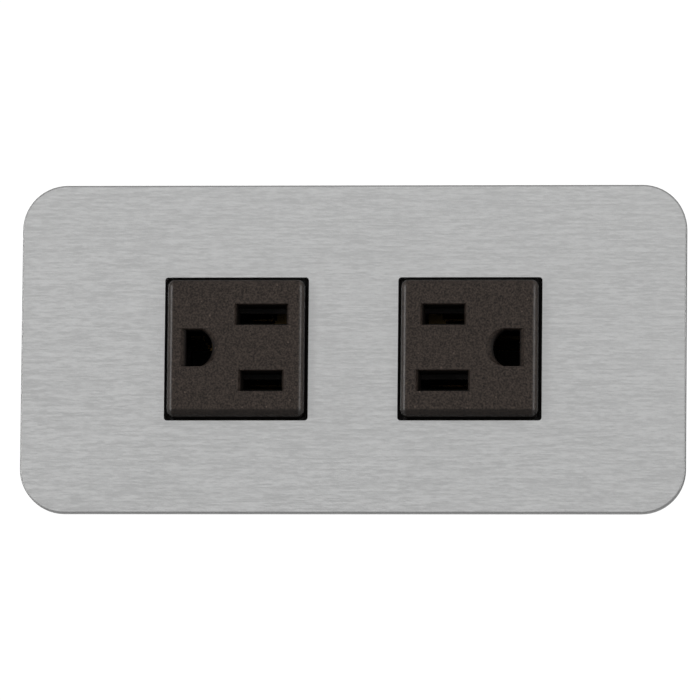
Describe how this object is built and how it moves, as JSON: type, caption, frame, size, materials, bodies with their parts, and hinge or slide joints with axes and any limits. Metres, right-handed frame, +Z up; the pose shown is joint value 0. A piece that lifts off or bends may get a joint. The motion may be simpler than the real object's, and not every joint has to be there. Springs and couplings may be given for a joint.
{
  "type": "duplex wall outlet",
  "caption": "Sideways duplex wall outlet: flat brushed face plate with square grounded sockets, steel yoke, side wiring terminals and box screws behind it.",
  "frame": {"origin": "middle of the face plate's footprint on the finished wall, midway between the box screws", "axes": "+X to the right along the plate, +Z up, +Y into the wall; the sockets face -Y"},
  "size_m": [0.127, 0.0326, 0.063],
  "materials": {
    "plate_steel": "brushed lengthways, satin",
    "socket_black": "fine moulded texture",
    "shell_black": "moulded, satin",
    "spacer_black": "moulded, matte",
    "yoke_zinc": "zinc plated",
    "screw_zinc": "zinc plated",
    "spring_steel": "bright drawn",
    "brass": "bright stamped",
    "nickel": "nickel plated",
    "clamp_steel": "zinc plated",
    "ground_green": "green tinted plating",
    "fibre": "pressed fibre"
  },
  "bodies": {
    "outlet": {"spacer_frame": "spacer_black", "frame_screws": "screw_zinc", "yoke": "yoke_zinc", "screw_retainers": "fibre", "stud_grips": "spring_steel", "receptacle_front_left": "socket_black", "receptacle_rear_left": "shell_black", "hot_contact_left": "brass", "neutral_contact_left": "brass", "ground_contact_left": "brass", "ground_rivet_left": "brass", "assembly_screws_left": "screw_zinc", "receptacle_front_right": "socket_black", "receptacle_rear_right": "shell_black", "hot_contact_right": "brass", "neutral_contact_right": "brass", "ground_contact_right": "brass", "ground_rivet_right": "brass", "assembly_screws_right": "screw_zinc"},
    "plate": {"face_plate": "plate_steel", "plate_studs": "screw_zinc"},
    "box_screw_left": {"box_screw_left": "screw_zinc"},
    "box_screw_right": {"box_screw_right": "screw_zinc"},
    "ground_clamp": {"ground_clamp": "clamp_steel"},
    "ground_screw": {"ground_screw": "ground_green"},
    "hot_clamp_left": {"hot_clamp_left": "clamp_steel"},
    "hot_screw_left": {"hot_screw_left": "brass"},
    "neutral_clamp_left": {"neutral_clamp_left": "clamp_steel"},
    "neutral_screw_left": {"neutral_screw_left": "nickel"},
    "hot_clamp_right": {"hot_clamp_right": "clamp_steel"},
    "hot_screw_right": {"hot_screw_right": "brass"},
    "neutral_clamp_right": {"neutral_clamp_right": "clamp_steel"},
    "neutral_screw_right": {"neutral_screw_right": "nickel"}
  },
  "joints": [
    {"name": "plate_pull", "type": "slide", "parent": "outlet", "child": "plate", "axis": [0, -1, 0], "range_m": [0, 0.015]},
    {"name": "box_screw_left_turn", "type": "hinge", "parent": "outlet", "child": "box_screw_left", "pos_m": [-0.04165, 0, 0], "axis": [0, -1, 0], "continuous": true},
    {"name": "box_screw_right_turn", "type": "hinge", "parent": "outlet", "child": "box_screw_right", "pos_m": [0.04165, 0, 0], "axis": [0, -1, 0], "continuous": true},
    {"name": "ground_clamp_lift", "type": "slide", "parent": "outlet", "child": "ground_clamp", "axis": [0, 0, 1], "range_m": [0, 0.00238]},
    {"name": "ground_screw_turn", "type": "hinge", "parent": "ground_clamp", "child": "ground_screw", "pos_m": [0, 0.007, 0.019], "axis": [0, 0, 1], "range_deg": [0, 1080]},
    {"name": "hot_clamp_left_lift", "type": "slide", "parent": "outlet", "child": "hot_clamp_left", "axis": [0, 0, -1], "range_m": [0, 0.00238]},
    {"name": "hot_screw_left_turn", "type": "hinge", "parent": "hot_clamp_left", "child": "hot_screw_left", "pos_m": [-0.01735, 0.0165, -0.0112], "axis": [0, 0, -1], "range_deg": [0, 1080]},
    {"name": "neutral_clamp_left_lift", "type": "slide", "parent": "outlet", "child": "neutral_clamp_left", "axis": [0, 0, 1], "range_m": [0, 0.00238]},
    {"name": "neutral_screw_left_turn", "type": "hinge", "parent": "neutral_clamp_left", "child": "neutral_screw_left", "pos_m": [-0.01735, 0.0165, 0.0112], "axis": [0, 0, 1], "range_deg": [0, 1080]},
    {"name": "hot_clamp_right_lift", "type": "slide", "parent": "outlet", "child": "hot_clamp_right", "axis": [0, 0, 1], "range_m": [0, 0.00238]},
    {"name": "hot_screw_right_turn", "type": "hinge", "parent": "hot_clamp_right", "child": "hot_screw_right", "pos_m": [0.01735, 0.0165, 0.0112], "axis": [0, 0, 1], "range_deg": [0, 1080]},
    {"name": "neutral_clamp_right_lift", "type": "slide", "parent": "outlet", "child": "neutral_clamp_right", "axis": [0, 0, -1], "range_m": [0, 0.00238]},
    {"name": "neutral_screw_right_turn", "type": "hinge", "parent": "neutral_clamp_right", "child": "neutral_screw_right", "pos_m": [0.01735, 0.0165, -0.0112], "axis": [0, 0, -1], "range_deg": [0, 1080]}
  ],
  "couplings": [
    {"joint": "ground_screw_turn", "follows": "ground_clamp_lift", "rad_per_m": 7915.8},
    {"joint": "hot_screw_left_turn", "follows": "hot_clamp_left_lift", "rad_per_m": 7915.8},
    {"joint": "neutral_screw_left_turn", "follows": "neutral_clamp_left_lift", "rad_per_m": 7915.8},
    {"joint": "hot_screw_right_turn", "follows": "hot_clamp_right_lift", "rad_per_m": 7915.8},
    {"joint": "neutral_screw_right_turn", "follows": "neutral_clamp_right_lift", "rad_per_m": 7915.8}
  ]
}
